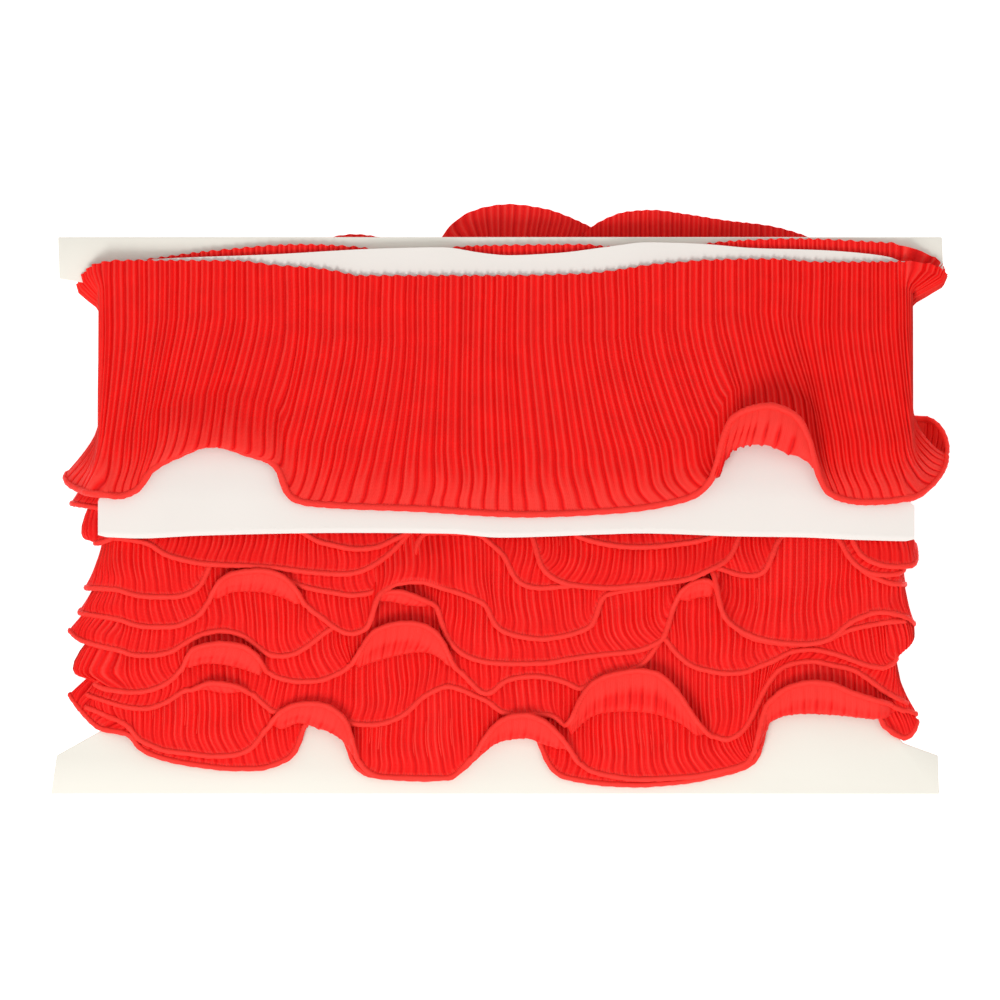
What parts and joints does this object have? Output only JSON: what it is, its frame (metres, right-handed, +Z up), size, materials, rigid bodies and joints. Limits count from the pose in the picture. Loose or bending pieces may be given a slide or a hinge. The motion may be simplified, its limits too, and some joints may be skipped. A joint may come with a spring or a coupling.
{
  "type": "roll of pleated ribbon on a card",
  "caption": "Pleated ribbon with a straight top edge and a wavy hem, wound in overlapping turns round a flat card, with a stiff strip laid under the last turn.",
  "frame": {"origin": "middle of the bounding box, on the ground that it lies on", "axes": "+X along the card to the right as its front is seen, +Y to the card's top edge, +Z up out of the front"},
  "size_m": [0.3239, 0.2132, 0.0338],
  "materials": {
    "card_board": "matt",
    "strip_paper": "matt",
    "ribbon": "soft sheen"
  },
  "bodies": {
    "root": {"card": "card_board", "interleaf": "strip_paper", "wound_ribbon": "ribbon", "outer_turn": "ribbon"}
  },
  "joints": []
}
